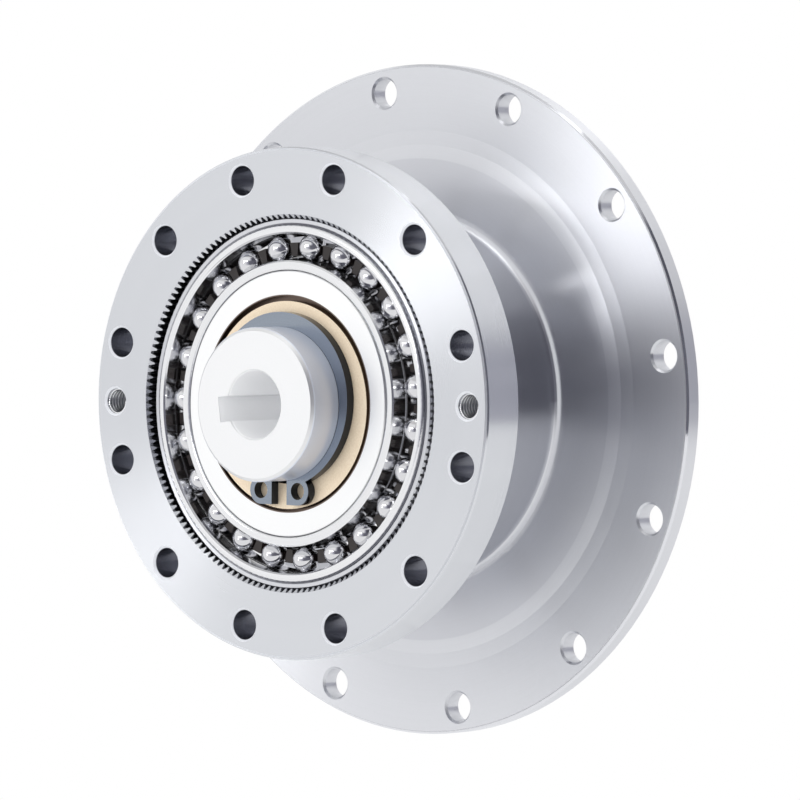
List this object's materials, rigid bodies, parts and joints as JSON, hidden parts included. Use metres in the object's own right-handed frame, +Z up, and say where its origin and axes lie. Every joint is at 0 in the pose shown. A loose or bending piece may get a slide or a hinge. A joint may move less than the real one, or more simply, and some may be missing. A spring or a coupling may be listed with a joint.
{
  "type": "strain wave gear",
  "caption": "Strain wave gear set: toothed ring, hat-shaped flexible spline with a bolt flange, and an oval ball-bearing wave generator with a keyed floating hub.",
  "frame": {"origin": "centre of the circular spline's front face, on the gear axis", "axes": "+Y along the gear axis from the input hub to the flexspline's flange, +X to the right and +Z up as seen from the hub side"},
  "size_m": [0.08, 0.033, 0.08],
  "materials": {
    "spline_steel": "fine ground steel, bright chamfers",
    "flexspline_steel": "fine turned steel",
    "plug_steel": "bright satin steel",
    "race_steel": "ground bearing steel",
    "ball_chrome": "polished bearing balls",
    "cage_resin": "dark brown moulded resin",
    "insert_steel": "machined steel",
    "washer_bronze": "pale smooth bronze",
    "hub_steel": "light satin steel",
    "snap_ring_steel": "blue-grey spring steel"
  },
  "bodies": {
    "circular_spline": {"circular_spline": "spline_steel"},
    "wave_generator": {"wave_generator_plug": "plug_steel", "bearing_inner_race": "race_steel"},
    "flexspline": {"flexspline": "flexspline_steel", "bearing_outer_race": "race_steel"},
    "ball_cage": {"ball_cage": "cage_resin"},
    "coupling_insert": {"coupling_insert": "insert_steel"},
    "input_hub": {"input_hub": "hub_steel", "snap_ring": "snap_ring_steel", "rub_washer_front": "washer_bronze", "rub_washer_rear": "washer_bronze"},
    "ball_01": {"ball_01": "ball_chrome"},
    "ball_02": {"ball_02": "ball_chrome"},
    "ball_03": {"ball_03": "ball_chrome"},
    "ball_04": {"ball_04": "ball_chrome"},
    "ball_05": {"ball_05": "ball_chrome"},
    "ball_06": {"ball_06": "ball_chrome"},
    "ball_07": {"ball_07": "ball_chrome"},
    "ball_08": {"ball_08": "ball_chrome"},
    "ball_09": {"ball_09": "ball_chrome"},
    "ball_10": {"ball_10": "ball_chrome"},
    "ball_11": {"ball_11": "ball_chrome"},
    "ball_12": {"ball_12": "ball_chrome"},
    "ball_13": {"ball_13": "ball_chrome"},
    "ball_14": {"ball_14": "ball_chrome"},
    "ball_15": {"ball_15": "ball_chrome"},
    "ball_16": {"ball_16": "ball_chrome"},
    "ball_17": {"ball_17": "ball_chrome"},
    "ball_18": {"ball_18": "ball_chrome"},
    "ball_19": {"ball_19": "ball_chrome"},
    "ball_20": {"ball_20": "ball_chrome"},
    "ball_21": {"ball_21": "ball_chrome"},
    "ball_22": {"ball_22": "ball_chrome"},
    "ball_23": {"ball_23": "ball_chrome"}
  },
  "joints": [
    {"name": "wave_generator_turn", "type": "hinge", "parent": "circular_spline", "child": "wave_generator", "pos_m": [0, 0, 0], "axis": [0, -1, 0], "continuous": true, "deforming": ["flexspline", "bearing_outer_race"]},
    {"name": "flexspline_turn", "type": "hinge", "parent": "circular_spline", "child": "flexspline", "pos_m": [0, 0, 0], "axis": [0, -1, 0], "continuous": true},
    {"name": "ball_cage_turn", "type": "hinge", "parent": "circular_spline", "child": "ball_cage", "pos_m": [0, 0, 0], "axis": [0, -1, 0], "continuous": true},
    {"name": "coupling_insert_slide", "type": "slide", "parent": "wave_generator", "child": "coupling_insert", "axis": [0.9925, 0, 0.1219], "range_m": [-0.0002, 0.0002]},
    {"name": "input_hub_slide", "type": "slide", "parent": "coupling_insert", "child": "input_hub", "axis": [-0.1219, 0, 0.9925], "range_m": [-0.0002, 0.0002]},
    {"name": "ball_01_orbit", "type": "hinge", "parent": "ball_cage", "child": "ball_01", "pos_m": [-0.00786, 0.0025, 0.01625], "axis": [0, -1, 0], "continuous": true},
    {"name": "ball_02_orbit", "type": "hinge", "parent": "ball_cage", "child": "ball_02", "pos_m": [-0.00318, 0.0025, 0.01777], "axis": [0, -1, 0], "continuous": true},
    {"name": "ball_03_orbit", "type": "hinge", "parent": "ball_cage", "child": "ball_03", "pos_m": [0.00173, 0.0025, 0.01797], "axis": [0, -1, 0], "continuous": true},
    {"name": "ball_04_orbit", "type": "hinge", "parent": "ball_cage", "child": "ball_04", "pos_m": [0.00651, 0.0025, 0.01683], "axis": [0, -1, 0], "continuous": true},
    {"name": "ball_05_orbit", "type": "hinge", "parent": "ball_cage", "child": "ball_05", "pos_m": [0.01081, 0.0025, 0.01445], "axis": [0, -1, 0], "continuous": true},
    {"name": "ball_06_orbit", "type": "hinge", "parent": "ball_cage", "child": "ball_06", "pos_m": [0.01431, 0.0025, 0.011], "axis": [0, -1, 0], "continuous": true},
    {"name": "ball_07_orbit", "type": "hinge", "parent": "ball_cage", "child": "ball_07", "pos_m": [0.01675, 0.0025, 0.00673], "axis": [0, -1, 0], "continuous": true},
    {"name": "ball_08_orbit", "type": "hinge", "parent": "ball_cage", "child": "ball_08", "pos_m": [0.01794, 0.0025, 0.00196], "axis": [0, -1, 0], "continuous": true},
    {"name": "ball_09_orbit", "type": "hinge", "parent": "ball_cage", "child": "ball_09", "pos_m": [0.01781, 0.0025, -0.00295], "axis": [0, -1, 0], "continuous": true},
    {"name": "ball_10_orbit", "type": "hinge", "parent": "ball_cage", "child": "ball_10", "pos_m": [0.01635, 0.0025, -0.00765], "axis": [0, -1, 0], "continuous": true},
    {"name": "ball_11_orbit", "type": "hinge", "parent": "ball_cage", "child": "ball_11", "pos_m": [0.01368, 0.0025, -0.01178], "axis": [0, -1, 0], "continuous": true},
    {"name": "ball_12_orbit", "type": "hinge", "parent": "ball_cage", "child": "ball_12", "pos_m": [0.01, 0.0025, -0.01503], "axis": [0, -1, 0], "continuous": true},
    {"name": "ball_13_orbit", "type": "hinge", "parent": "ball_cage", "child": "ball_13", "pos_m": [0.00557, 0.0025, -0.01717], "axis": [0, -1, 0], "continuous": true},
    {"name": "ball_14_orbit", "type": "hinge", "parent": "ball_cage", "child": "ball_14", "pos_m": [0.00073, 0.0025, -0.01804], "axis": [0, -1, 0], "continuous": true},
    {"name": "ball_15_orbit", "type": "hinge", "parent": "ball_cage", "child": "ball_15", "pos_m": [-0.00416, 0.0025, -0.01756], "axis": [0, -1, 0], "continuous": true},
    {"name": "ball_16_orbit", "type": "hinge", "parent": "ball_cage", "child": "ball_16", "pos_m": [-0.00875, 0.0025, -0.01579], "axis": [0, -1, 0], "continuous": true},
    {"name": "ball_17_orbit", "type": "hinge", "parent": "ball_cage", "child": "ball_17", "pos_m": [-0.01268, 0.0025, -0.01284], "axis": [0, -1, 0], "continuous": true},
    {"name": "ball_18_orbit", "type": "hinge", "parent": "ball_cage", "child": "ball_18", "pos_m": [-0.01568, 0.0025, -0.00895], "axis": [0, -1, 0], "continuous": true},
    {"name": "ball_19_orbit", "type": "hinge", "parent": "ball_cage", "child": "ball_19", "pos_m": [-0.01751, 0.0025, -0.00439], "axis": [0, -1, 0], "continuous": true},
    {"name": "ball_20_orbit", "type": "hinge", "parent": "ball_cage", "child": "ball_20", "pos_m": [-0.01804, 0.0025, 0.0005], "axis": [0, -1, 0], "continuous": true},
    {"name": "ball_21_orbit", "type": "hinge", "parent": "ball_cage", "child": "ball_21", "pos_m": [-0.01724, 0.0025, 0.00535], "axis": [0, -1, 0], "continuous": true},
    {"name": "ball_22_orbit", "type": "hinge", "parent": "ball_cage", "child": "ball_22", "pos_m": [-0.01516, 0.0025, 0.0098], "axis": [0, -1, 0], "continuous": true},
    {"name": "ball_23_orbit", "type": "hinge", "parent": "ball_cage", "child": "ball_23", "pos_m": [-0.01195, 0.0025, 0.01353], "axis": [0, -1, 0], "continuous": true}
  ],
  "couplings": [
    {"joint": "flexspline_turn", "follows": "wave_generator_turn", "ratio": -0.0125},
    {"joint": "ball_cage_turn", "follows": "wave_generator_turn", "ratio": 0.44923},
    {"joint": "ball_01_orbit", "follows": "wave_generator_turn", "ratio": 1.1015},
    {"joint": "ball_02_orbit", "follows": "wave_generator_turn", "ratio": 1.1015},
    {"joint": "ball_03_orbit", "follows": "wave_generator_turn", "ratio": 1.1015},
    {"joint": "ball_04_orbit", "follows": "wave_generator_turn", "ratio": 1.1015},
    {"joint": "ball_05_orbit", "follows": "wave_generator_turn", "ratio": 1.1015},
    {"joint": "ball_06_orbit", "follows": "wave_generator_turn", "ratio": 1.1015},
    {"joint": "ball_07_orbit", "follows": "wave_generator_turn", "ratio": 1.1015},
    {"joint": "ball_08_orbit", "follows": "wave_generator_turn", "ratio": 1.1015},
    {"joint": "ball_09_orbit", "follows": "wave_generator_turn", "ratio": 1.1015},
    {"joint": "ball_10_orbit", "follows": "wave_generator_turn", "ratio": 1.1015},
    {"joint": "ball_11_orbit", "follows": "wave_generator_turn", "ratio": 1.1015},
    {"joint": "ball_12_orbit", "follows": "wave_generator_turn", "ratio": 1.1015},
    {"joint": "ball_13_orbit", "follows": "wave_generator_turn", "ratio": 1.1015},
    {"joint": "ball_14_orbit", "follows": "wave_generator_turn", "ratio": 1.1015},
    {"joint": "ball_15_orbit", "follows": "wave_generator_turn", "ratio": 1.1015},
    {"joint": "ball_16_orbit", "follows": "wave_generator_turn", "ratio": 1.1015},
    {"joint": "ball_17_orbit", "follows": "wave_generator_turn", "ratio": 1.1015},
    {"joint": "ball_18_orbit", "follows": "wave_generator_turn", "ratio": 1.1015},
    {"joint": "ball_19_orbit", "follows": "wave_generator_turn", "ratio": 1.1015},
    {"joint": "ball_20_orbit", "follows": "wave_generator_turn", "ratio": 1.1015},
    {"joint": "ball_21_orbit", "follows": "wave_generator_turn", "ratio": 1.1015},
    {"joint": "ball_22_orbit", "follows": "wave_generator_turn", "ratio": 1.1015},
    {"joint": "ball_23_orbit", "follows": "wave_generator_turn", "ratio": 1.1015}
  ]
}
